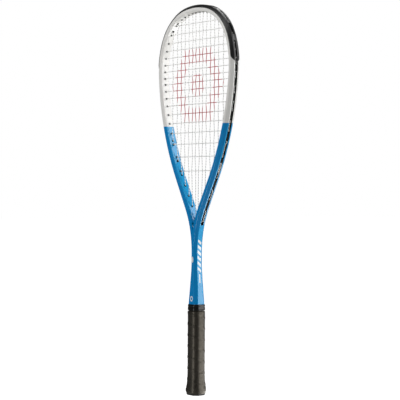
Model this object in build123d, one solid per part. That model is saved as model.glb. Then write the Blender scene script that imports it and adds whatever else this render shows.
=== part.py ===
"""Squash racket, in millimetres.

Frame of reference: origin at the centre of the butt cap's end face, +Z up the racket's long axis to the
crown of the head, X across the head in the plane of the strings, Y square to the strings.

The hoop outlines are chains of tangent arcs. Each chain starts on the axis at the crown, heading +X, and
turns clockwise down the right-hand side. The left-hand side is its mirror image.
"""

import os
from math import atan2, cos, degrees, hypot, pi, radians, sin, sqrt, tan

from build123d import *

# ---------------------------------------------------------------- driving dimensions
LENGTH = 686.0            # overall length, butt face to the top of the head guard
DEPTH = 19.0              # hoop and shaft, square to the strings
INNER_TOP = 673.8         # crown of the strung opening
HOOP_WIDTH = 11.0         # hoop, in the plane of the strings, at the crown
INNER_ARCS = [(142.0, 11.3), (80.3, 58.9), (138.5, 24.4), (450.0, 24.7)]   # radius, turn in degrees
INNER_LEG = 43.5          # straight part of the leg
INNER_FLARE = 224.0       # reverse arc towards the throat
THROAT_RADIUS = 3.0       # bottom of the strung opening
OUTER_ARCS = [(153.0, 11.4), (91.4, 58.4), (147.2, 24.1), (458.4, 24.2)]
OUTER_FLARE = 161.5       # reverse arc where the legs run into the shaft
SHAFT_HALF = 7.4          # half of the shaft's width
BEVEL = 4.7               # outer bevel of hoop and shaft
SOFT = 1.2                # rounding of the bevel's edges
INNER_ROUND = 3.0         # rounding of the hoop's inner edges
WALL = 1.4                # laminate thickness
SHAFT_END = 240.0         # lower end of the straight shaft

# String channel round the outside of the hoop
CHANNEL_HALF = 3.1
CHANNEL_DEPTH = 2.6
CHANNEL_END = 298.0       # height of its lower ends, in the throat
FLOAT = 0.05              # gap left where a moulding lies on the frame
VOID_BEVEL = 1.3          # bevel of the hollow inside the laminate
CREASE = (286.0, 0.3, 3.4, 20.0)   # crease below the throat: lowest height, end radii and length

# Octagonal handle: (height, half width, half depth, bevel)
FLARE_SECTIONS = [(240.0, 7.4, 9.5, 4.7), (226.0, 7.6, 9.5, 4.7), (205.0, 9.1, 9.9, 4.8),
                  (180.0, 11.2, 10.8, 5.0), (159.8, 12.75, 11.75, 5.2)]
CORE = (8.6, 7.8, 3.4)    # half width, half depth and bevel of the shaft inside the handle
CORE_BORE = (6.8, 6.0, 2.8)
CORE_END = 6.0
# The flare's bore is drawn to these sections, less the wall.
BORE_SECTIONS = [(239.0, 7.4, 9.5, 4.7), (226.0, 7.6, 9.5, 4.7), (205.0, 9.1, 9.9, 4.8),
                 (180.0, 8.8, 8.0, 3.6), (158.8, 8.2, 7.4, 3.2)]
PALLET = [(3.2, 12.2, 11.2, 5.2), (139.8, 12.2, 11.2, 5.2), (147.8, 11.3, 10.3, 4.8),
          (159.4, 11.3, 10.3, 4.8)]
GRIP_OUTER = [(2.65, 16.4, 15.0, 6.9), (6.0, 17.3, 15.9, 7.2), (10.0, 17.7, 16.3, 7.4),
              (13.5, 17.3, 15.9, 7.2), (17.0, 16.5, 15.2, 7.0), (21.0, 15.8, 14.6, 6.7),
              (27.0, 15.3, 14.2, 6.5), (36.0, 14.9, 13.85, 6.3), (50.0, 14.6, 13.6, 6.2),
              (146.4, 14.6, 13.6, 6.2), (148.5, 12.35, 11.35, 5.2), (159.2, 12.35, 11.35, 5.2)]
CAP_OUTER = [(2.6, 14.3, 13.0, 6.1), (10.0, 15.4, 14.0, 6.4), (17.0, 14.2, 13.0, 6.1),
             (23.0, 13.3, 12.2, 5.6), (30.0, 12.75, 11.75, 5.4)]
RIM = [(0.0, 14.2, 12.9, 6.2), (1.0, 15.4, 14.0, 6.6), (2.6, 15.8, 14.4, 6.7)]
CAP_FLOOR = 3.0
CAP_BORE = (12.25, 11.25, 5.2)
BADGE_R = 8.0
BADGE_THICK = 0.8
BADGE_SUNK = 0.2          # how far the badge lies below the end face
STAPLE_WIRE = 0.8
STAPLE_WIDTH = 9.0
STAPLE_LEG = 3.7          # length of the leg below the crown
STAPLE_FACE = 11.9        # distance of the cap staples' crowns from the axis
STAPLE_HEIGHT = 25.0      # height of the cap staples
GRIP_STAPLE_FACE = 13.9   # the same two dimensions of the grip's staple
GRIP_STAPLE_HEIGHT = 12.0
TAPE_THICKNESS = 0.2
TAPE_SPAN = (149.8, 159.0)
COLLAR = [(148.7, 13.8, 12.8, 5.8), (149.6, 14.2, 13.2, 6.0), (154.0, 14.2, 13.2, 6.0),
          (154.8, 13.95, 12.95, 5.9), (155.8, 13.95, 12.95, 5.9), (157.0, 14.1, 13.1, 5.9),
          (159.4, 13.65, 12.65, 5.7)]
COLLAR_BORE = (13.05, 12.05, 5.4)
CORNER = 1.2              # rounding of the octagon's corners

# Strings
STRING_R = 0.6
WEAVE = 0.75              # how far a string's axis stands off the string plane at a crossing
STRING_BEND = 7.0         # bend radius of a string, where its runs allow it
STRAIGHT = 0.003          # half of a turn, in radians, too small to need a bend
BEND_SLACK = 0.25         # how far a bend may leave the line of a barrel at its end
TIGHTEST = 0.75           # least bend radius
BEND_SHARE = 0.4          # how much of a run a bend or a sideways lead may use up
STRING_SHARE = 0.65       # how far each of two strings in one barrel lies from its axis
KNOT_STAND = 3.6          # distance of a knot from the mouth of its hole
KNOT_TURN = 1.25          # radius of a turn of the knot, and the distance between its two turns
KNOT_PITCH = 1.14
MAINS = [5.1, 14.3, 24.8, 36.2, 47.3, 58.7, 72.0]      # distance of each pair of mains from the axis
MAIN_HEADS = [5.8, 15.4, 26.0, 36.8, 46.7, 57.7, 72.1]  # where the same mains meet the hoop at the crown
MAIN_FEET = [4.4, 13.8, 23.9, 34.2, 44.6, 57.0, 71.6]  # and at the legs
FAN = 28.0                # length over which a main leans to its hole
CROSSES = [654.9, 639.5, 625.0, 611.3, 598.6, 586.2, 574.2, 562.3, 551.3, 538.8, 525.9, 512.2, 496.4, 480.3,
           462.4, 442.2, 419.4, 394.2]                  # height of each cross, from the crown down

# Grommets
BARREL_R = 1.6
BARREL_WALL = 0.55
BARREL_LIP = 0.3          # how far past a barrel's end its string turns
BARREL_STAND = 1.2        # how far a barrel stands out of the hoop's inner face
HOLE_CLEARANCE = 0.1
MAX_TILT = 8.0            # most that a barrel leans from square to the hoop, in degrees
SHARED_EXTRA = 0.45       # more radius where a barrel takes a second string
STRIP_THICK = 1.0
STRIP_HALF = 3.0
STRIP_SUNK = 0.2          # how far a strip's edges lie below the hoop's outer face
SLOT_HALF = 2.0           # half width of the slot that the strings' loops lie in
BRIDGE_GAP = 2.3          # from a hole to the block that closes the slot beside it
BRIDGE_LEAST = 1.5        # shortest block
BRIDGE_SUNK = 0.5         # how far the guard's blocks lie below its own face
LOOP_RISE = 0.15          # gap left between the loops and the strip they lie on
LOOP_LEVEL = CHANNEL_DEPTH - STRIP_THICK - STRING_R - LOOP_RISE   # string axis below the hoop's face
LOOP_TURN = 3.5           # most that a loop turns between two of its points, in degrees
LOOP_SIDE = 1.25          # mains loop to one side of the channel, crosses to the other
LOOP_LEAD = 3.4           # how far from its hole a loop has moved to its side

# Head guard
WIDEST_HEIGHT = 570.0     # height where the strung opening is widest
GUARD_END = 579.5         # height of the tips of its tongues
GUARD_THICK = LENGTH - INNER_TOP - HOOP_WIDTH
GUARD_DEPTH = 9.4         # half of the guard's depth, square to the strings
GUARD_CHAMFER = GUARD_DEPTH - DEPTH / 2 + BEVEL - GUARD_THICK * (sqrt(2) - 1)   # lies parallel to the hoop's
GUARD_BEVEL = 4.2         # how much of the hoop's bevel the guard covers, along X
GROOVES = [3.0, 4.1]      # distances of the guard's lengthwise grooves from its middle
GROOVE_HALF = 0.3
GROOVE_DEPTH = 0.4
TONGUE_HALF = 9.8         # the guard's lower ends are half ellipses, seen from the side
TONGUE_HEIGHT = 13.5
STRIP_TOP = 579.4         # where the grommet strips meet the head guard
HALF_DEPTH = DEPTH / 2

# Cutting and measuring
ACROSS = 400.0            # wider than the racket
CLEAR = 4.0               # how far a cutting shape runs past what it cuts
SEARCH = 45.0             # how far along the hoop a hole's two mouths may be apart
HALVINGS = 60             # steps of a search by halves
TOUCH = 0.01              # distance at which points count as one
OUTLINE_STEP = 0.5        # spacing of points along an outline, and how near an edge must lie to it


# ---------------------------------------------------------------- outlines in the XZ plane
class Chain:
    """Tangent arcs and lines. A piece is (kind, length or turn, start, heading, radius, side)."""

    def __init__(self, top):
        self.x, self.z, self.heading = 0.0, top, 0.0
        self.pieces = []

    def line(self, length):
        self.pieces.append(("line", length, (self.x, self.z), self.heading, 0.0, 0))
        self.x += length * cos(self.heading)
        self.z -= length * sin(self.heading)

    def arc(self, radius, turn, side=1):
        """side 1 turns clockwise, side -1 the other way; turn is in radians."""
        piece = ("arc", turn, (self.x, self.z), self.heading, radius, side)
        self.pieces.append(piece)
        self.x, self.z, self.heading = self.at(piece, 1.0)

    @staticmethod
    def at(piece, share):
        """Point and heading at a share of the way along a piece."""
        kind, amount, (x, z), heading, radius, side = piece
        if kind == "line":
            return x + share * amount * cos(heading), z - share * amount * sin(heading), heading
        cx, cz = x - side * radius * sin(heading), z - side * radius * cos(heading)
        now = heading + side * amount * share
        return cx + side * radius * sin(now), cz + side * radius * cos(now), now

    def length(self, piece):
        return piece[1] if piece[0] == "line" else piece[1] * piece[4]

    def total(self):
        return sum(self.length(p) for p in self.pieces)

    def point(self, distance):
        """(x, z, heading) at a distance along the chain."""
        for piece in self.pieces:
            here = self.length(piece)
            if distance <= here:
                return self.at(piece, distance / here)
            distance -= here
        return self.at(self.pieces[-1], 1.0)

    def find(self, value, low, high):
        """Distance, between low and high, where value(x, z) changes sign."""
        sign = value(*self.point(low)[:2]) > 0
        for _ in range(HALVINGS):
            middle = (low + high) / 2
            if (value(*self.point(middle)[:2]) > 0) == sign:
                low = middle
            else:
                high = middle
        return (low + high) / 2

    def edges(self, mirrored=False):
        s = -1 if mirrored else 1
        made = []
        for piece in self.pieces:
            a, m, b = (self.at(piece, t)[:2] for t in (0.0, 0.5, 1.0))
            a, m, b = ((s * p[0], 0, p[1]) for p in (a, m, b))
            made.append(Edge.make_line(a, b) if piece[0] == "line" else Edge.make_three_point_arc(a, m, b))
        return made


def inner_chain(out=0.0):
    """The strung opening's outline, moved out into the hoop by out."""
    chain = Chain(INNER_TOP + out)
    for radius, turn in INNER_ARCS:
        chain.arc(radius + out, radians(turn))
    chain.line(INNER_LEG)
    # The reverse arc meets the throat's own arc, which is centred on the axis.
    flare, throat = INNER_FLARE - out, THROAT_RADIUS + out
    cx, cz = chain.x + flare * sin(chain.heading), chain.z + flare * cos(chain.heading)
    throat_z = cz + sqrt((flare + throat) ** 2 - cx**2)
    meeting = pi - atan2(cx, throat_z - cz)
    chain.arc(flare, chain.heading - meeting, side=-1)
    chain.arc(throat, pi - meeting)
    return chain


def outer_chain(out=0.0, end=SHAFT_END):
    """The hoop's and shaft's outer outline, moved out by out."""
    chain = Chain(INNER_TOP + HOOP_WIDTH + out)
    for radius, turn in OUTER_ARCS:
        chain.arc(radius + out, radians(turn))
    flare = OUTER_FLARE - out
    shaft = SHAFT_HALF + out
    start_of_flare = shaft + flare * (1 - sin(chain.heading))
    chain.line((chain.x - start_of_flare) / -cos(chain.heading))
    chain.arc(flare, chain.heading - pi / 2, side=-1)
    chain.line(chain.z - end)
    return chain


INNER = inner_chain()


def closed_face(chain):
    """The face between a chain and its mirror image, closed across the bottom."""
    edges = chain.edges() + chain.edges(mirrored=True)
    if chain.x > TOUCH:
        edges.append(Edge.make_line((chain.x, 0, chain.z), (-chain.x, 0, chain.z)))
    return Face(Wire(edges))


def plate(chain, half):
    """The face of a chain, made half thick to either side of the string plane."""
    return extrude(closed_face(chain), amount=half, dir=(0, 1, 0), both=True)


def edges_at(solid, depth, floor):
    """Edges that run at a distance depth from the string plane, above floor."""
    middles = [(edge, edge @ 0.5) for edge in solid.edges()]
    return [edge for edge, m in middles if abs(abs(m.Y) - depth) < TOUCH and m.Z > floor + TOUCH]


def on_outline(edge, chain):
    middle = edge @ 0.5
    near = (chain.point(i * OUTLINE_STEP) for i in range(int(chain.total() / OUTLINE_STEP)))
    return any(hypot(abs(middle.X) - x, middle.Z - z) < OUTLINE_STEP for x, z, _ in near)


def bevelled_plate(out, half, bevel, soft=0.0):
    chain = outer_chain(out)
    solid = plate(chain, half)
    solid = chamfer(edges_at(solid, half, chain.z), bevel)
    if soft:
        edges = edges_at(solid, half, chain.z) + edges_at(solid, half - bevel, chain.z)
        solid = fillet(edges, soft)
    return solid


def hoop_and_shaft(out, inset, half, bevel, soft, rounding):
    """The bevelled hoop with its shaft: the strung opening is cut out and its edges are rounded."""
    opening = inner_chain(inset)
    solid = bevelled_plate(out, half, bevel, soft) - plate(opening, half + CLEAR)
    rim = [e for e in edges_at(solid, half, 0) if on_outline(e, opening)]
    return fillet(rim, rounding)


# ---------------------------------------------------------------- octagonal sections
def octagon(z, half_x, half_y, bevel, corner=CORNER):
    points = []
    for sx, sy, swap in ((1, 1, 0), (-1, 1, 1), (-1, -1, 0), (1, -1, 1)):
        pair = [(sx * half_x, sy * (half_y - bevel)), (sx * (half_x - bevel), sy * half_y)]
        points += pair[::-1] if swap else pair
    face = make_face(Polyline(*points, close=True))
    if corner:
        face = fillet(face.vertices(), corner)
    return Plane.XY.offset(z) * face


def stack(sections, corner=CORNER, ruled=True):
    return loft([octagon(*section, corner=corner) for section in sections], ruled=ruled)


# ---------------------------------------------------------------- string holes
def crossing(chain, axis, value, low, high):
    """Distance along a chain, between low and high, where x (axis 0) or z (axis 1) has a value."""
    return chain.find(lambda x, z: (x, z)[axis] - value, low, high)


LOOP_CHAIN = outer_chain(-LOOP_LEVEL)      # the line that string loops follow in the channel
WIDEST = INNER.find(lambda x, z: z - WIDEST_HEIGHT, 0.0, INNER.total())


class Hole:
    """A string hole on the right-hand side. (x, z) is its mouth on the hoop's inner face."""

    def __init__(self, distance, string_angle):
        self.x, self.z, heading = INNER.point(distance)
        normal = heading - pi / 2                      # clockwise from +X, like the chain's headings
        lean = (string_angle - normal + pi) % (2 * pi) - pi
        limit = radians(MAX_TILT)
        angle = normal + max(-limit, min(limit, lean))
        self.dx, self.dz = cos(angle), -sin(angle)
        self.shared = False                            # a shared hole also takes a string's tail
        self.groove = self.leaves(LOOP_CHAIN, distance)

    def leaves(self, chain, near):
        """Distance along an outer chain where the hole's axis crosses it."""
        def side(x, z):
            return (x - self.x) * self.dz - (z - self.z) * self.dx
        return chain.find(side, max(near - SEARCH, 0.0), near + SEARCH)

    def at(self, distance):
        """Point on the hole's axis, measured out from its mouth."""
        return self.x + distance * self.dx, self.z + distance * self.dz

    def barrel_radius(self):
        return BARREL_R + (SHARED_EXTRA if self.shared else 0.0)

    def shaft(self, radius, start, end):
        """A rod along the hole's axis, from start to end, measured out from its mouth."""
        place = Plane(origin=(self.x, 0, self.z), z_dir=(self.dx, 0, self.dz))
        rod = Cylinder(radius, end - start, align=(Align.CENTER, Align.CENTER, Align.MIN))
        return place.offset(start) * rod

    def depth(self):
        """Length of the hole from its mouth to the string loops' line."""
        x, z, _ = LOOP_CHAIN.point(self.groove)
        return hypot(x - self.x, z - self.z)


TOP_HOLES = [Hole(crossing(INNER, 0, x, 0.0, WIDEST), -pi / 2) for x in MAIN_HEADS]
BOTTOM_HOLES = [Hole(crossing(INNER, 0, x, WIDEST, INNER.total()), pi / 2) for x in MAIN_FEET]
CROSS_HOLES = [Hole(crossing(INNER, 1, z, 0.0, INNER.total()), 0.0) for z in CROSSES]
HOLES = TOP_HOLES + BOTTOM_HOLES + CROSS_HOLES
TAILS = {"main_foot": CROSS_HOLES[15], "cross_head": TOP_HOLES[6], "cross_foot": BOTTOM_HOLES[5]}
for tail_hole in TAILS.values():
    tail_hole.shared = True


def mirrored(solids):
    """Solids of the right-hand side with their left-hand copies."""
    return solids + [mirror(s, about=Plane.YZ) for s in solids]


# ---------------------------------------------------------------- frame
def channel(depth, half, end=CHANNEL_END):
    """The string channel's space, from the given depth out past the hoop, with rounded lower ends."""
    ring = plate(outer_chain(CLEAR), half) - plate(outer_chain(-depth), half + CLEAR)
    middle = Pos(0, 0, end + half)
    above = middle * Box(ACROSS, DEPTH, LENGTH, align=(Align.CENTER, Align.CENTER, Align.MIN))
    return ring & (above + middle * Rot(0, 90, 0) * Cylinder(half, ACROSS))


def frame():
    outside = hoop_and_shaft(0, 0, HALF_DEPTH, BEVEL, SOFT, INNER_ROUND)
    hollow = hoop_and_shaft(-CHANNEL_DEPTH - WALL, WALL, HALF_DEPTH - WALL, VOID_BEVEL, 0, INNER_ROUND - WALL)
    solid = outside - hollow - channel(CHANNEL_DEPTH, CHANNEL_HALF)
    for y in (-HALF_DEPTH, HALF_DEPTH):
        solid -= Pos(0, y, CREASE[0]) * Cone(*CREASE[1:], align=(Align.CENTER, Align.CENTER, Align.MIN))
    bore = [(z, x - WALL, y - WALL, bevel) for z, x, y, bevel in BORE_SECTIONS]
    flare = stack(FLARE_SECTIONS, ruled=False) - stack(bore)
    core = stack([(CORE_END, *CORE), (FLARE_SECTIONS[-1][0], *CORE)])
    core -= stack([(CORE_END - CLEAR, *CORE_BORE), (FLARE_SECTIONS[-1][0] + CLEAR, *CORE_BORE)])
    solid = solid + flare + core
    rods = [hole.shaft(hole.barrel_radius() + HOLE_CLEARANCE, -CLEAR, hole.depth() + CLEAR) for hole in HOLES]
    for rod in mirrored(rods):
        solid -= rod
    return solid


# ---------------------------------------------------------------- grommets
def barrels(holes):
    """Barrels from the channel's floor through the hoop, standing out of its inner face."""
    top = -STRING_R - LOOP_RISE
    return [hole.shaft(hole.barrel_radius(), -BARREL_STAND, hole.depth() + top) for hole in holes]


def barrel_bores(holes):
    start = -BARREL_STAND - CLEAR
    return [hole.shaft(hole.barrel_radius() - BARREL_WALL, start, hole.depth() + CLEAR) for hole in holes]


def lining(top):
    """A U-shaped strip in the channel, all the way round, up to a height top over the hoop's face."""
    ring = plate(outer_chain(top), STRIP_HALF) - plate(outer_chain(FLOAT - CHANNEL_DEPTH), STRIP_HALF + CLEAR)
    ring &= channel(CHANNEL_DEPTH, STRIP_HALF)
    return ring - channel(CHANNEL_DEPTH - STRIP_THICK, SLOT_HALF, CHANNEL_END + STRIP_HALF - SLOT_HALF)


def loop_spans(side):
    """Pairs of holes that a loop or a tail joins on one side of the racket, right (1) or left (-1)."""
    heads = [(TOP_HOLES[i], TOP_HOLES[i + 1]) for i in (1, 3, 5)]
    feet = [(BOTTOM_HOLES[i], BOTTOM_HOLES[i + 1]) for i in (0, 2, 4)]
    first = 1 if side > 0 else 0
    rows = [(CROSS_HOLES[i], CROSS_HOLES[i + 1]) for i in range(first, len(CROSSES) - 1, 2)]
    tails = [(BOTTOM_HOLES[6], TAILS["main_foot"])]
    if side > 0:
        tails += [(CROSS_HOLES[0], TAILS["cross_head"]), (CROSS_HOLES[-1], TAILS["cross_foot"])]
    return heads + feet + rows + tails


def bridges(side, top, low, high):
    """Blocks that close the slot between holes that no loop joins, up to a height top over the hoop."""
    spans = [sorted((a.groove, b.groove)) for a, b in loop_spans(side)]
    stops = sorted(hole.groove for hole in HOLES)
    floor = LOOP_LEVEL - CHANNEL_DEPTH + STRIP_THICK / 2
    blocks = []
    for start, end in zip(stops, stops[1:]):
        middle = (start + end) / 2
        x, z, heading = LOOP_CHAIN.point(middle)
        length = end - start - 2 * BRIDGE_GAP
        if length < BRIDGE_LEAST or not low < z < high or any(a < middle < b for a, b in spans):
            continue
        along, outward = (cos(heading), 0, -sin(heading)), (sin(heading), 0, cos(heading))
        place = Plane(origin=(x, 0, z), x_dir=along, z_dir=outward).offset(floor)
        size = (length, 2 * SLOT_HALF + FLOAT, LOOP_LEVEL + top - floor)
        blocks.append(place * Box(*size, align=(Align.CENTER, Align.CENTER, Align.MIN)))
    return blocks


def side_holes(low, high):
    """Holes of the right-hand side whose string loops' line is between two heights."""
    return [hole for hole in HOLES if low < LOOP_CHAIN.point(hole.groove)[1] <= high]


def grommet_strip(side):
    """The strip of the right-hand leg, or its mirror image with the left-hand side's bridges."""
    leg = Pos(0, 0, STRIP_TOP) * Box(ACROSS, DEPTH, LENGTH, align=(Align.MIN, Align.CENTER, Align.MAX))
    solid = lining(-STRIP_SUNK)
    for block in bridges(side, -STRIP_SUNK, 0, STRIP_TOP):
        solid += block
    solid &= leg
    holes = side_holes(0, STRIP_TOP)
    for barrel in barrels(holes):
        solid += barrel
    for bore in barrel_bores(holes):
        solid -= bore
    return solid if side > 0 else mirror(solid, about=Plane.YZ)


def bumper_guard():
    cover = bevelled_plate(GUARD_THICK, GUARD_DEPTH, GUARD_CHAMFER, SOFT)
    cover -= bevelled_plate(FLOAT, HALF_DEPTH + FLOAT, BEVEL, SOFT)
    cover -= plate(outer_chain(-GUARD_BEVEL), HALF_DEPTH + CLEAR)
    cover -= plate(outer_chain(CLEAR), SLOT_HALF)
    solid = cover + lining(FLOAT * 2)
    beyond = outer_chain(CLEAR)
    for middle in GROOVES:
        grooves = plate(beyond, middle + GROOVE_HALF) - plate(beyond, middle - GROOVE_HALF)
        solid -= grooves - plate(outer_chain(GUARD_THICK - GROOVE_DEPTH), HALF_DEPTH + CLEAR)
    solid &= tongue_limit()
    holes = side_holes(STRIP_TOP, LENGTH)
    top = GUARD_THICK - BRIDGE_SUNK
    right, left = (bridges(side, top, GUARD_END + TONGUE_HEIGHT, LENGTH) for side in (1, -1))
    for piece in mirrored(barrels(holes)) + right + [mirror(block, about=Plane.YZ) for block in left]:
        solid += piece
    for bore in mirrored(barrel_bores(holes)):
        solid -= bore
    return solid


def tongue_limit():
    """The space that the head guard keeps to: its lower ends are round tongues."""
    middle = GUARD_END + TONGUE_HEIGHT
    with BuildSketch(Plane.YZ) as outline:
        with Locations((0, middle)):
            Ellipse(TONGUE_HALF, TONGUE_HEIGHT)
            Rectangle(2 * TONGUE_HALF, LENGTH, align=(Align.CENTER, Align.MIN))
    return extrude(outline.sketch, amount=ACROSS / 2, both=True)


# ---------------------------------------------------------------- strings
class Port:
    """A hole on one side of the racket, as a string passes through it."""

    def __init__(self, hole, sign, y=0.0):
        self.hole, self.sign, self.y = hole, sign, y
        self.distance = sign * hole.groove
        x, z = hole.at(-BARREL_STAND - BARREL_LIP)
        self.mouth = (sign * x, y, z)
        self.exit = groove_point(self.distance, y)


def groove_point(distance, y):
    """A point of the loops' line; negative distances are on the left-hand side."""
    x, z, _ = LOOP_CHAIN.point(abs(distance))
    return (x if distance > 0 else -x, y, z)


def groove_heading(distance):
    heading = LOOP_CHAIN.point(abs(distance))[2]
    return heading if distance > 0 else -heading


def loop(first, last, y):
    """Points in the channel between two ports, at a distance y to one side of its middle."""
    span = last.distance - first.distance
    lead = min(LOOP_LEAD, abs(span) * BEND_SHARE) * (1 if span > 0 else -1)
    start, end = first.distance + lead, last.distance - lead
    turn = degrees(abs(groove_heading(end) - groove_heading(start)))
    count = int(turn / LOOP_TURN) + 1
    return [groove_point(start + (end - start) * i / count, y) for i in range(count + 1)]


def turn_at(before, here, after):
    """Half of a route's turn at a point, and the shorter of the two runs that meet there."""
    a, b = Vector(*here) - Vector(*before), Vector(*after) - Vector(*here)
    return radians(a.get_angle(b)) / 2, min(a.length, b.length)


def string(points):
    """A string along points, rounded at each one that turns it, with bends as large as the runs allow."""
    trios = zip(points, points[1:], points[2:])
    middle = [trio[1] for trio in trios if turn_at(*trio)[0] > STRAIGHT]
    points = [points[0], *middle, points[-1]]
    radii = []
    for trio in zip(points, points[1:], points[2:]):
        half_turn, run = turn_at(*trio)
        wanted = max(min(STRING_BEND, 2 * BEND_SLACK / tan(half_turn) ** 2), TIGHTEST)
        radii.append(min(wanted, BEND_SHARE * run / tan(half_turn)))
    path = FilletPolyline(*points, radius=radii)
    return sweep(Plane(origin=path @ 0, z_dir=path % 0) * Circle(STRING_R), path=path)


def weave(main, cross):
    """Which side of the string plane a main lies on where it meets a cross; the cross lies on the other."""
    return WEAVE if (main + cross) % 2 else -WEAVE


def share(hole):
    return STRING_SHARE if hole.shared else 0.0


COLUMNS = [(-1, pair) for pair in reversed(range(len(MAINS)))] + [(1, pair) for pair in range(len(MAINS))]


def main_x(pair, z):
    """Distance of a main from the axis at a height: it leans to its holes near its ends."""
    x = MAINS[pair]
    for hole in (TOP_HOLES[pair], BOTTOM_HOLES[pair]):
        x += (hole.x - MAINS[pair]) * (1 - min(abs(z - hole.z) / FAN, 1.0))
    return x


def meet(pair, row):
    """Whether a main and a cross meet in the bed."""
    z = CROSSES[row]
    mouth = CROSS_HOLES[row].x - BARREL_STAND - BARREL_LIP - STRING_R
    return BOTTOM_HOLES[pair].z < z < TOP_HOLES[pair].z and main_x(pair, z) < mouth


def main_string():
    """The mains: one string, up and down from left to right."""
    points = []
    previous = None
    for column, (sign, pair) in enumerate(COLUMNS):
        head = Port(TOP_HOLES[pair], sign, share(TOP_HOLES[pair]))
        foot = Port(BOTTOM_HOLES[pair], sign, share(BOTTOM_HOLES[pair]))
        upward = column % 2 == 0
        entry, leave = (foot, head) if upward else (head, foot)
        rows = [(row, z) for row, z in enumerate(CROSSES) if meet(pair, row)]
        bed = [(sign * main_x(pair, z), weave(column, row), z) for row, z in rows]
        if previous is None:
            tail = Port(TAILS["main_foot"], sign, STRING_SHARE)
            points += [inward(tail), tail.exit] + loop(tail, entry, LOOP_SIDE)
        else:
            points += loop(previous, entry, LOOP_SIDE)
        points += [entry.exit, entry.mouth] + (bed[::-1] if upward else bed) + [leave.mouth, leave.exit]
        previous = leave
    tail = Port(TAILS["main_foot"], sign, STRING_SHARE)
    points += loop(previous, tail, LOOP_SIDE) + [tail.exit, inward(tail)]
    return string(points)


def cross_string():
    """The crosses: one string, from side to side and down the head."""
    head, foot = Port(TAILS["cross_head"], 1, -STRING_SHARE), Port(TAILS["cross_foot"], 1, -STRING_SHARE)
    points = [inward(head), head.exit]
    previous = head
    for row, (z, hole) in enumerate(zip(CROSSES, CROSS_HOLES)):
        leftward = row % 2 == 0
        right, left = (Port(hole, sign, -share(hole)) for sign in (1, -1))
        entry, leave = (right, left) if leftward else (left, right)
        columns = [(column, side, pair) for column, (side, pair) in enumerate(COLUMNS) if meet(pair, row)]
        bed = [(side * main_x(pair, z), -weave(column, row), z) for column, side, pair in columns]
        points += loop(previous, entry, -LOOP_SIDE) + [entry.exit, entry.mouth]
        points += (bed[::-1] if leftward else bed) + [leave.mouth, leave.exit]
        previous = leave
    points += loop(previous, foot, -LOOP_SIDE) + [foot.exit, inward(foot)]
    return string(points)


def inward(port):
    """Where a string's tail ends in its knot, inside the strung opening."""
    x, z = port.hole.at(-KNOT_STAND)
    return (port.sign * x, port.y, z)


def knot(port, host):
    """Two turns of the tail round the host string, which leaves its barrel in the direction host."""
    x, _, z = inward(port)
    turns = []
    for step in (-0.5, 0.5):
        along = Vector(*host).normalized() * (step * KNOT_PITCH)
        place = Plane(origin=Vector(x, 0, z) + along, z_dir=host)
        turns.append(place * Torus(KNOT_TURN, STRING_R))
    return turns


def tie_off_knots():
    rows = [(TAILS["main_foot"], 1, 1, (1, 0, 0)), (TAILS["main_foot"], -1, 1, (1, 0, 0)),
            (TAILS["cross_head"], 1, -1, (0, 0, 1)), (TAILS["cross_foot"], 1, -1, (0, 0, 1))]
    turns = []
    for hole, sign, side, host in rows:
        turns += knot(Port(hole, sign, side * STRING_SHARE), host)
    return Compound(children=turns)


# ---------------------------------------------------------------- handle
def handle_pallet():
    top = PALLET[-1][0]
    return stack(PALLET) - stack([(0, *CORE), (top + CLEAR, *CORE)]) - staples() - grip_staple()


def butt_cap():
    solid = stack(RIM) + stack(CAP_OUTER)
    solid -= stack([(CAP_FLOOR, *CAP_BORE), (CAP_OUTER[-1][0] + CLEAR, *CAP_BORE)])
    seat = Cylinder(BADGE_R + FLOAT, CLEAR + BADGE_THICK, align=(Align.CENTER, Align.CENTER, Align.MIN))
    return solid - Pos(0, 0, -CLEAR) * seat - staples() - grip_staple()


def butt_badge():
    disc = Cylinder(BADGE_R, BADGE_THICK - BADGE_SUNK, align=(Align.CENTER, Align.CENTER, Align.MIN))
    return Pos(0, 0, BADGE_SUNK) * disc


def staple(face_y, z):
    """A wire staple driven towards the axis: its crown lies across the handle at y = face_y."""
    out = 1 if face_y > 0 else -1
    crown = Pos(0, face_y + out * STAPLE_WIRE / 2, z) * Box(STAPLE_WIDTH, STAPLE_WIRE, STAPLE_WIRE)
    legs = [Pos(s * (STAPLE_WIDTH - STAPLE_WIRE) / 2, face_y - out * STAPLE_LEG / 2, z)
            * Box(STAPLE_WIRE, STAPLE_LEG, STAPLE_WIRE) for s in (-1, 1)]
    return crown + legs[0] + legs[1]


def staples():
    return staple(STAPLE_FACE, STAPLE_HEIGHT) + staple(-STAPLE_FACE, STAPLE_HEIGHT)


def grip_staple():
    return staple(GRIP_STAPLE_FACE, GRIP_STAPLE_HEIGHT)


def grip_tape():
    solid = stack(GRIP_OUTER) - stack(CAP_OUTER) - stack(PALLET)
    return solid - staples() - grip_staple()


def finishing_tape():
    low, high = TAPE_SPAN
    _, x, y, bevel = GRIP_OUTER[-1]
    outer = (x + TAPE_THICKNESS, y + TAPE_THICKNESS, bevel)
    bore = (x, y, bevel)
    return stack([(low, *outer), (high, *outer)]) - stack([(low - CLEAR, *bore), (high + CLEAR, *bore)])


def rubber_collar():
    low, high = COLLAR[0][0], COLLAR[-1][0]
    return stack(COLLAR) - stack([(low - CLEAR, *COLLAR_BORE), (high + CLEAR, *COLLAR_BORE)])


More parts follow.
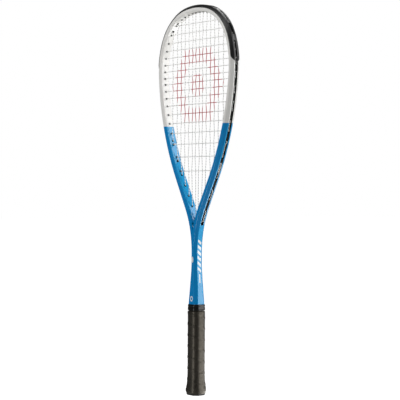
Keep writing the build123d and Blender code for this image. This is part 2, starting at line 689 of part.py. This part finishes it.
# ---------------------------------------------------------------- the racket
PARTS = {
    "frame": frame(),
    "bumper_guard": bumper_guard(),
    "grommet_strip_right": grommet_strip(1),
    "grommet_strip_left": grommet_strip(-1),
    "main_string": main_string(),
    "cross_string": cross_string(),
    "tie_off_knots": tie_off_knots(),
    "handle_pallet": handle_pallet(),
    "butt_cap": butt_cap(),
    "butt_badge": butt_badge(),
    "butt_cap_staples": staples(),
    "grip_staple": grip_staple(),
    "grip_tape": grip_tape(),
    "finishing_tape": finishing_tape(),
    "rubber_collar": rubber_collar(),
}

os.makedirs("parts", exist_ok=True)
for name, solid in PARTS.items():
    export_step(solid, f"parts/{name}.step")
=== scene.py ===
"""The looks of a squash racket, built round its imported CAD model.

Metres, in the CAD frame: origin at the centre of the butt's end face, +Z up to the crown, X across the head,
Y square to the strings. The grip and the collar are drawn in millimetres and scaled as they are meshed."""

from math import cos, pi, radians, sin
import bpy
from mathutils import Matrix, Vector


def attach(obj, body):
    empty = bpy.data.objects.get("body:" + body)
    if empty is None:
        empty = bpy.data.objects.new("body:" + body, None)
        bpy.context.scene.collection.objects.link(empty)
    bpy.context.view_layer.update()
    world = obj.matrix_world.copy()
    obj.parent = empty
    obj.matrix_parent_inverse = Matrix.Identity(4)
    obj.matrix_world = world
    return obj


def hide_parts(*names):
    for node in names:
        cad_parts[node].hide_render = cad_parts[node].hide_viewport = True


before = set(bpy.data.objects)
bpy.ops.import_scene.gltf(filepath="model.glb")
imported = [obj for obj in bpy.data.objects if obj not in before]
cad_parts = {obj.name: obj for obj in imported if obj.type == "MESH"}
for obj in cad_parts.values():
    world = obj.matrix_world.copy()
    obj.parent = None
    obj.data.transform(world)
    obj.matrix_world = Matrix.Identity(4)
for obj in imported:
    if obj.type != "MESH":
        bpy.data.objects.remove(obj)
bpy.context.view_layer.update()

MM = 0.001

# ---------------------------------------------------------------- camera
VIEW_AZIMUTH = radians(52.0)
VIEW_DISTANCE = 2.4053
VIEW_HEIGHT = 0.3464
VIEW_YAW = radians(-0.125)
VIEW_PITCH = radians(-0.082)
VIEW_ROLL = radians(-0.307)
LENS = 122.93
SENSOR = 36.0


def make_camera():
    away = Vector((sin(VIEW_AZIMUTH), -cos(VIEW_AZIMUTH), 0))
    right = Vector((cos(VIEW_AZIMUTH), sin(VIEW_AZIMUTH), 0))
    up = Vector((0, 0, 1))
    turn = (Matrix.Rotation(VIEW_ROLL, 3, -away) @ Matrix.Rotation(VIEW_PITCH, 3, right)
            @ Matrix.Rotation(VIEW_YAW, 3, up))
    rotation = Matrix((turn @ right, turn @ up, turn @ away)).transposed().to_4x4()
    camera = bpy.data.objects.new("camera", bpy.data.cameras.new("camera"))
    bpy.context.scene.collection.objects.link(camera)
    camera.matrix_world = Matrix.Translation(away * VIEW_DISTANCE + up * VIEW_HEIGHT) @ rotation
    camera.data.lens = LENS
    camera.data.sensor_width = SENSOR
    bpy.context.scene.camera = camera


# ---------------------------------------------------------------- shader nodes
class Shader:
    """A material's node tree, with a Principled surface."""

    def __init__(self, name, **surface):
        self.material = bpy.data.materials.new(name)
        self.material.use_nodes = True
        self.tree = self.material.node_tree
        self.surface = self.tree.nodes["Principled BSDF"]
        self.set(**surface)

    def set(self, **surface):
        """Sets sockets of the surface, named in lower case with underscores."""
        for key, value in surface.items():
            self.feed(self.surface.inputs[key.replace("_", " ").title().replace("Ior", "IOR")], value)

    def feed(self, socket, value):
        """Gives a socket a value, or links another node's socket to it."""
        if isinstance(value, bpy.types.NodeSocket):
            self.tree.links.new(value, socket)
        elif hasattr(socket.default_value, "__len__") and len(value) == 3 and len(socket.default_value) == 4:
            socket.default_value = (*value, 1.0)
        else:
            socket.default_value = value

    def node(self, kind, inputs=None, output=0, **settings):
        """Adds a node; inputs maps a socket's name or number to a value or to another node's socket."""
        made = self.tree.nodes.new("ShaderNode" + kind)
        for key, value in settings.items():
            setattr(made, key, value)
        for key, value in (inputs or {}).items():
            self.feed(made.inputs[key], value)
        return made.outputs[output]

    def place(self):
        return self.node("TexCoord", output="Object")

    def axes(self, vector):
        """The three components of a vector."""
        split = self.tree.nodes.new("ShaderNodeSeparateXYZ")
        self.tree.links.new(vector, split.inputs[0])
        return split.outputs

    def math(self, operation, *values):
        return self.node("Math", dict(enumerate(values)), operation=operation)

    def product(self, *values):
        """All the values multiplied together."""
        total = values[0]
        for value in values[1:]:
            total = self.math("MULTIPLY", total, value)
        return total

    def noise(self, scale, detail=3.0, roughness=0.55):
        return self.node("TexNoise", {"Vector": self.place(), "Scale": scale, "Detail": detail,
                                      "Roughness": roughness})

    def mix(self, share, first, second):
        """Colour between first and second."""
        made = self.tree.nodes.new("ShaderNodeMix")
        made.data_type = "RGBA"
        for socket, value in zip((made.inputs[0], made.inputs[6], made.inputs[7]), (share, first, second)):
            self.feed(socket, value)
        return made.outputs[2]

    def span(self, value, low, high, start=0.0, end=1.0):
        """Maps value from low..high to start..end, and holds it there beyond."""
        return self.node("MapRange", {"Value": value, "From Min": low, "From Max": high, "To Min": start,
                                      "To Max": end})

    def above(self, value, limit, soft):
        """1 where value is above the limit and 0 below it, over a step of soft on each side."""
        return self.span(value, limit - soft, limit + soft)

    def below(self, value, limit, soft):
        """1 where value is below the limit and 0 above it, over a step of soft on each side."""
        return self.span(value, limit - soft, limit + soft, 1.0, 0.0)

    def between(self, value, low, high, soft):
        """1 where value is between low and high, and 0 elsewhere."""
        return self.product(self.above(value, low, soft), self.below(value, high, soft))

    def bump(self, height, distance, strength=1.0, normal=None):
        inputs = {"Height": height, "Distance": distance, "Strength": strength}
        if normal:
            inputs["Normal"] = normal
        return self.node("Bump", inputs)


# ---------------------------------------------------------------- lacquer and its marks
WHITE_ABOVE = 0.475             # height at which the blue legs meet the pearl head
WHITE_SOFT = 0.0001
PEARL = (0.84, 0.83, 0.8)
PEARL_CLOUD = (0.8, 0.795, 0.775)
PEARL_FLAKE = (1.0, 1.0, 1.0)
BLUE = (0.0, 0.24, 0.6)         # front and back faces
# painted light: the side faces' lighter blue stands in for the key light falling on them
PAINTED_LIT_SIDE_BLUE = (0.0, 0.32, 0.65)         # side faces
BLUE_FLAKE = (0.05, 0.45, 0.85)
FLAKE_SCALE = 2600.0
FLAKE_SPAN = (0.62, 0.75)       # noise levels at which a flake starts and is whole
SIDE_FACING = 0.4               # a side face's normal has less than this along Y, either way
SIDE_SOFT = 0.1
FRONT_FACING = -0.85            # the front face's normal has less than this along Y
FRONT_SOFT = 0.05

MARK_WHITE = (0.85, 0.86, 0.86)
MARK_SOFT = 0.0002
BAR_HALF = 0.0036               # half the width of the bars across the side face
BAR_SPAN = (0.2155, 0.2735)     # heights between which the bars lie
BAR_PITCH = 0.0097
BAR_GAP = 0.48                  # share of the pitch with no bar
BAR_SOFT = 0.03
BAR_SLANT = 0.8
RULE_SPAN = (0.1975, 0.2125)
RULE_HALF = 0.0011
OVAL = (0.238, 0.0024, 0.0055)  # height of its centre, half width, half height
RING = (0.1695, 0.0036, 0.0048)
RING_HOLE = 0.55                # size of the ring's hole, as a share of the ring's
OVAL_SOFT = 0.05


def side_marks(s, side, y, z):
    """Slanted white bars up each side of the shaft, with a thin rule below them."""
    off_centre = s.math("ABSOLUTE", y)
    slanted = s.math("ADD", z, s.product(y, BAR_SLANT))
    phase = s.math("FRACT", s.math("DIVIDE", slanted, BAR_PITCH))
    bars = s.product(s.above(phase, BAR_GAP, BAR_SOFT), s.between(z, *BAR_SPAN, MARK_SOFT))
    rule = s.product(s.below(off_centre, RULE_HALF, MARK_SOFT), s.between(z, *RULE_SPAN, MARK_SOFT))
    across = s.below(off_centre, BAR_HALF, MARK_SOFT)
    return s.product(side, across, s.math("MAXIMUM", bars, rule))


def front_marks(s, facing, x, z):
    """A white oval on the shaft's front face, and a ring on the face of the flare."""
    front = s.below(facing, FRONT_FACING, FRONT_SOFT)
    oval = s.below(oval_distance(s, x, z, OVAL), 1.0, OVAL_SOFT)
    reach = oval_distance(s, x, z, RING)
    ring = s.between(reach, RING_HOLE, 1.0, OVAL_SOFT)
    return s.product(front, s.math("MAXIMUM", oval, ring))


def oval_distance(s, x, z, oval):
    """Distance from an oval's centre, 1 on its outline."""
    height, half_width, half_height = oval
    across = s.math("DIVIDE", x, half_width)
    above = s.math("DIVIDE", s.math("SUBTRACT", z, height), half_height)
    return s.math("SQRT", s.math("ADD", s.product(across, across), s.product(above, above)))


def lacquer():
    """Gloss lacquer: pearl white head, blue legs and shaft, under a clear coat; the side faces get a lighter
    blue, which is painted light from the key lamp.
    """
    s = Shader("frame_lacquer", roughness=0.35, specular_ior_level=0.2, coat_weight=0.6, coat_roughness=0.06)
    x, y, z = s.axes(s.place())
    facing = s.axes(s.node("TexCoord", output="Normal"))[1]
    side = s.below(s.math("ABSOLUTE", facing), SIDE_FACING, SIDE_SOFT)
    flake = s.noise(FLAKE_SCALE, 1.0)
    cloud = s.noise(14.0, 2.0)
    # painted light: faces turned sideways get the lighter blue, for the key light on them
    blue = s.mix(side, BLUE, PAINTED_LIT_SIDE_BLUE)
    blue = s.mix(s.span(flake, *FLAKE_SPAN, 0.0, 0.2), blue, BLUE_FLAKE)
    pearl = s.mix(s.span(cloud, 0.3, 0.7), PEARL, PEARL_CLOUD)
    pearl = s.mix(s.span(flake, *FLAKE_SPAN, 0.0, 0.4), pearl, PEARL_FLAKE)
    marks = s.math("MAXIMUM", side_marks(s, side, y, z), front_marks(s, facing, x, z))
    shaft = s.mix(marks, blue, MARK_WHITE)
    s.set(base_color=s.mix(s.above(z, WHITE_ABOVE, WHITE_SOFT), shaft, pearl))
    peel = s.noise(220.0, 2.0)
    s.set(normal=s.bump(peel, 0.00004, 0.4))
    return s.material


# ---------------------------------------------------------------- other materials of the CAD nodes
DARK_SHARE = 0.7                # brightness of a nylon's darker patches, as a share of its colour's

GUT_DARK = (0.42, 0.42, 0.41)
GUT_LIGHT = (0.95, 0.95, 0.93)
INK = (0.46, 0.0, 0.018)
STENCIL_CENTRE = 0.5455
STENCIL_OUTER = 0.064
STENCIL_INNER = 0.04
STENCIL_CORE = 0.019
STENCIL_SOFT = 0.0015
TWIST_PITCH = 0.0048

STEEL_DARK = (0.5, 0.5, 0.52)
STEEL_LIGHT = (0.7, 0.7, 0.72)
FOAM_LIGHT = (0.36, 0.33, 0.29)
FOAM_DARK = (0.22, 0.2, 0.18)


def nylon(name, colour, roughness, grain=1800.0, depth=0.00003, shine=0.3):
    s = Shader(name, specular_ior_level=shine)
    tone = s.noise(60.0, 3.0)
    dark = tuple(c * DARK_SHARE for c in colour)
    s.set(base_color=s.mix(s.span(tone, 0.3, 0.7), dark, colour))
    s.set(roughness=s.span(s.noise(300.0, 4.0), 0.3, 0.7, roughness - 0.06, roughness + 0.08))
    s.set(normal=s.bump(s.noise(grain, 2.0), depth, 0.6))
    return s.material


def string_gut():
    """Natural string with a red six-sided target stencilled across the bed."""
    s = Shader("string_gut", roughness=0.35, ior=1.48)
    x, _, z = s.axes(s.place())
    across = s.math("ABSOLUTE", x)
    above = s.math("ABSOLUTE", s.math("SUBTRACT", z, STENCIL_CENTRE))
    slant = s.math("ADD", s.product(across, cos(pi / 6)), s.product(above, sin(pi / 6)))
    reach = s.math("MAXIMUM", slant, above)
    ring = s.between(reach, STENCIL_INNER, STENCIL_OUTER, STENCIL_SOFT)
    core = s.below(reach, STENCIL_CORE, STENCIL_SOFT)
    ink = s.product(s.math("MAXIMUM", ring, core), s.span(s.noise(900.0), 0.2, 0.45, 0.8, 1.0))
    phase = s.product(s.math("ADD", x, z), 2 * pi / TWIST_PITCH)
    twist = s.span(s.math("SINE", phase), -0.8, 0.0)
    s.set(base_color=s.mix(ink, s.mix(twist, GUT_DARK, GUT_LIGHT), INK))
    s.set(normal=s.bump(s.noise(2500.0, 2.0), 0.00002, 0.5))
    return s.material


def steel():
    s = Shader("staple_steel", metallic=1.0)
    s.set(base_color=s.mix(s.noise(900.0), STEEL_DARK, STEEL_LIGHT))
    s.set(roughness=s.span(s.noise(1500.0), 0.3, 0.7, 0.2, 0.4))
    return s.material


def foam():
    s = Shader("pallet_foam", roughness=0.9)
    cells = s.node("TexVoronoi", {"Vector": s.place(), "Scale": 1400.0})
    s.set(base_color=s.mix(cells, FOAM_LIGHT, FOAM_DARK))
    s.set(normal=s.bump(cells, 0.0002, 0.8))
    return s.material


def set_material(piece, material):
    piece.data.materials.clear()
    piece.data.materials.append(material)


def dress_cad_nodes():
    grommet = nylon("grommet_nylon", (0.005, 0.005, 0.005), 0.6, shine=0.1)
    string = string_gut()
    metal = steel()
    looks = {
        "frame": lacquer(),
        "bumper_guard": nylon("guard_nylon", (0.012, 0.012, 0.013), 0.33, shine=0.6),
        "grommet_strip_left": grommet,
        "grommet_strip_right": grommet,
        "main_string": string,
        "cross_string": string,
        "tie_off_knots": string,
        "handle_pallet": foam(),
        "butt_cap": nylon("cap_plastic", (0.02, 0.02, 0.021), 0.5),
        "butt_badge": nylon("badge_plastic", (0.05, 0.05, 0.055), 0.2),
        "butt_cap_staples": metal,
        "grip_staple": metal,
        "finishing_tape": nylon("finishing_tape", (0.02, 0.02, 0.02), 0.7, 3000.0, 0.0001),
    }
    for node, material in looks.items():
        set_material(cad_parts[node], material)


# ---------------------------------------------------------------- octagonal skins
def octagon_radius(angle, half_x, half_y, bevel, sharpness):
    """Distance from the axis to an octagon in the direction of angle; lower sharpness rounds the corners."""
    total = 0.0
    for i in range(8):
        slant = (half_x + half_y - bevel) / 2**0.5
        facet = (half_x, slant, half_y, slant)[i % 4]
        total += max(cos(angle - i * pi / 4), 0.0) ** sharpness / facet**sharpness
    return total ** (-1 / sharpness)


def section_at(sections, height):
    """Half width, half depth and bevel at a height, in straight lines between the sections of a list."""
    for (z0, *low), (z1, *high) in zip(sections, sections[1:]):
        if height <= z1:
            t = max((height - z0) / (z1 - z0), 0.0)
            return [a + (b - a) * t for a, b in zip(low, high)]
    return sections[-1][1:]


def mesh_object(name, vertices, faces):
    mesh = bpy.data.meshes.new(name)
    mesh.from_pydata(vertices, [], faces)
    mesh.validate()
    mesh.shade_smooth()
    piece = bpy.data.objects.new(name, mesh)
    bpy.context.scene.collection.objects.link(piece)
    return piece


def tube_faces(rings, around, closed):
    """Quads between rings of vertices; a closed tube joins its last ring to its first."""
    faces = []
    for r in range(rings if closed else rings - 1):
        for a in range(around):
            b = (a + 1) % around
            low, high = r * around, (r + 1) % rings * around
            faces.append((low + a, low + b, high + b, high + a))
    return faces


# ---------------------------------------------------------------- grip
# Height, half width, half depth and bevel, mm: the flare over the butt cap, the straight handle, and the thin
# top end under the finishing tape.
GRIP_SECTIONS = [(2.65, 16.3, 14.9, 6.9), (4.5, 17.0, 15.6, 7.1), (8.0, 17.5, 16.1, 7.3),
                 (11.5, 17.4, 16.0, 7.3), (15.0, 16.8, 15.5, 7.1), (19.0, 16.1, 14.9, 6.8),
                 (25.0, 15.4, 14.3, 6.5), (36.0, 14.9, 13.85, 6.3), (50.0, 14.7, 13.7, 6.2),
                 (147.2, 14.7, 13.7, 6.2), (148.5, 12.4, 11.4, 5.2), (159.1, 12.35, 11.35, 5.2)]
GRIP_SHARPNESS = 11.0
GRIP_AROUND = 288
GRIP_ROW = 0.4
GRIP_DARK = (0.012, 0.011, 0.009)
GRIP_LIGHT = (0.02, 0.018, 0.015)
GRIP_SHEEN = (1.0, 0.9, 0.74)
WRAP_TOP = 147.8
WRAP_PITCH = 19.4
WRAP_OVERLAP = 3.6
WRAP_STEP = 0.55
WRAP_EDGE = 0.25                # length of the rise at the overlap's lower edge
WRAP_FADE = 1.1                 # length of the fall at its upper edge
WRAP_FLAT = 0.65                # height of the overlap at its upper edge, as a share of the step
WRAP_RIBS = 11                  # fine ribs along the tape, in one pitch of the wrap


def wrap_height(angle, height):
    """How far the wrap stands out: its overlap is a low step with a sharp lower edge and a soft upper one."""
    along = (height + WRAP_PITCH * angle / (2 * pi)) % WRAP_PITCH
    if along < WRAP_EDGE:
        return WRAP_STEP * along / WRAP_EDGE
    if along < WRAP_OVERLAP:
        return WRAP_STEP * (1 - (1 - WRAP_FLAT) * (along - WRAP_EDGE) / (WRAP_OVERLAP - WRAP_EDGE))
    if along < WRAP_OVERLAP + WRAP_FADE:
        return WRAP_STEP * WRAP_FLAT * (1 - (along - WRAP_OVERLAP) / WRAP_FADE)
    return 0.0


def make_grip():
    low, high = GRIP_SECTIONS[0][0], GRIP_SECTIONS[-1][0]
    rows = int((high - low) / GRIP_ROW) + 1
    vertices = []
    for r in range(rows):
        z = low + (high - low) * r / (rows - 1)
        half_x, half_y, bevel = section_at(GRIP_SECTIONS, z)
        for a in range(GRIP_AROUND):
            angle = 2 * pi * a / GRIP_AROUND
            out = octagon_radius(angle, half_x, half_y, bevel, GRIP_SHARPNESS) - WRAP_STEP / 2
            out += wrap_height(angle, z) if z < WRAP_TOP else 0.0
            vertices.append((out * cos(angle) * MM, out * sin(angle) * MM, z * MM))
    grip = mesh_object("grip_wrap", vertices, tube_faces(rows, GRIP_AROUND, False))
    set_material(grip, grip_wrap())
    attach(grip, "racket")
    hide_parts("grip_tape")


def grip_wrap():
    s = Shader("grip_wrap", specular_ior_level=0.6, specular_tint=GRIP_SHEEN)
    tone = s.noise(120.0, 3.0)
    s.set(base_color=s.mix(s.span(tone, 0.3, 0.7), GRIP_DARK, GRIP_LIGHT))
    s.set(roughness=s.span(s.noise(500.0, 3.0), 0.3, 0.7, 0.32, 0.48))
    x, y, z = s.axes(s.place())
    turn = s.math("DIVIDE", s.math("ARCTAN2", y, x), 2 * pi)
    along = s.math("ADD", s.math("DIVIDE", z, WRAP_PITCH * MM), turn)
    rib = s.math("SINE", s.product(along, 2 * pi * WRAP_RIBS))
    grain = s.node("TexVoronoi", {"Vector": s.place(), "Scale": 1500.0})
    s.set(normal=s.bump(rib, 0.00006, 0.5, normal=s.bump(grain, 0.0001, 0.4)))
    return s.material


# ---------------------------------------------------------------- collar
# Height and distance out from the core, mm: up the outside, then down the bore.
COLLAR_OUTSIDE = [(148.75, 0.6), (148.9, 0.95), (149.6, 1.15), (151.8, 1.2), (153.8, 1.15), (154.5, 0.8),
                  (155.1, 0.7), (155.8, 0.8), (156.4, 1.05), (157.8, 1.05), (158.8, 0.85), (159.3, 0.45)]
COLLAR_BORE = [(159.25, 0.12), (148.85, 0.12)]
COLLAR_CORE = (13.05, 12.05, 5.4)    # half width, half depth and bevel of the octagon inside the ring
COLLAR_SHARPNESS = 26.0
COLLAR_AROUND = 192


def make_collar():
    """A closed soft ring with a groove round it."""
    rings = COLLAR_OUTSIDE + COLLAR_BORE
    vertices = []
    for z, out in rings:
        for a in range(COLLAR_AROUND):
            angle = 2 * pi * a / COLLAR_AROUND
            reach = octagon_radius(angle, *COLLAR_CORE, COLLAR_SHARPNESS) + out
            vertices.append((reach * cos(angle) * MM, reach * sin(angle) * MM, z * MM))
    collar = mesh_object("collar_ring", vertices, tube_faces(len(rings), COLLAR_AROUND, True))
    smooth = collar.modifiers.new("smooth", "SUBSURF")
    smooth.levels = 1
    smooth.render_levels = 1
    set_material(collar, nylon("collar_rubber", (0.01, 0.01, 0.01), 0.2))
    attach(collar, "collar")
    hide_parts("rubber_collar")


# ---------------------------------------------------------------- studio
FLOOR_SIZE = 60
FLOOR_DROP = 0.25
FLOOR_DARK = (0.5, 0.5, 0.49)
FLOOR_LIGHT = (0.52, 0.52, 0.51)
WORLD_LIGHT = 0.06              # the surroundings as a light; the camera sees them white
LIGHT_AIM = 0.45                # height on the racket's axis that every light faces
LIGHTS = {                      # place, width and height, watts
    "key": ((2.1, 1.65, 1.1), (1.6, 2.6), 62),
    "fill": ((-0.1, -0.75, 0.0), (0.45, 0.45), 2.4),
    "rim": ((-0.6, 1.4, 2.4), (1.4, 1.4), 28),
    "head": ((0.0, -0.45, 0.97), (0.4, 0.4), 2.2),
    "bounce": ((0.1, 0.4, -0.24), (0.9, 0.6), 10),
}


def make_floor():
    """A pale floor, which the camera alone sees as white."""
    bpy.ops.mesh.primitive_plane_add(size=FLOOR_SIZE, location=(0, 0, -FLOOR_DROP))
    floor = bpy.context.object
    floor.name = "floor"
    s = Shader("floor_paint", roughness=0.9, specular_ior_level=0.0, emission_color=(1, 1, 1))
    s.set(base_color=s.mix(s.noise(3.0), FLOOR_DARK, FLOOR_LIGHT))
    s.set(emission_strength=s.node("LightPath", output="Is Camera Ray"))
    set_material(floor, s.material)


def make_world():
    world = bpy.data.worlds.new("studio")
    bpy.context.scene.world = world
    world.use_nodes = True
    tree = world.node_tree
    back = tree.nodes["Background"]
    back.inputs["Color"].default_value = (1, 1, 1, 1)
    seen = tree.nodes.new("ShaderNodeLightPath")
    level = tree.nodes.new("ShaderNodeMapRange")
    level.inputs["To Min"].default_value = WORLD_LIGHT
    level.inputs["To Max"].default_value = 1.0
    tree.links.new(seen.outputs["Is Camera Ray"], level.inputs["Value"])
    tree.links.new(level.outputs[0], back.inputs["Strength"])


def make_lights():
    for name, (place, (width, height), power) in LIGHTS.items():
        data = bpy.data.lights.new(name, "AREA")
        data.shape = "RECTANGLE"
        data.size = width
        data.size_y = height
        data.energy = power
        light = bpy.data.objects.new(name, data)
        bpy.context.scene.collection.objects.link(light)
        light.location = place
        light.rotation_euler = (Vector((0, 0, LIGHT_AIM)) - Vector(place)).to_track_quat("-Z", "Y").to_euler()


make_camera()
make_floor()
make_world()
make_lights()
dress_cad_nodes()
make_grip()
make_collar()
bpy.context.scene.view_settings.view_transform = "Standard"
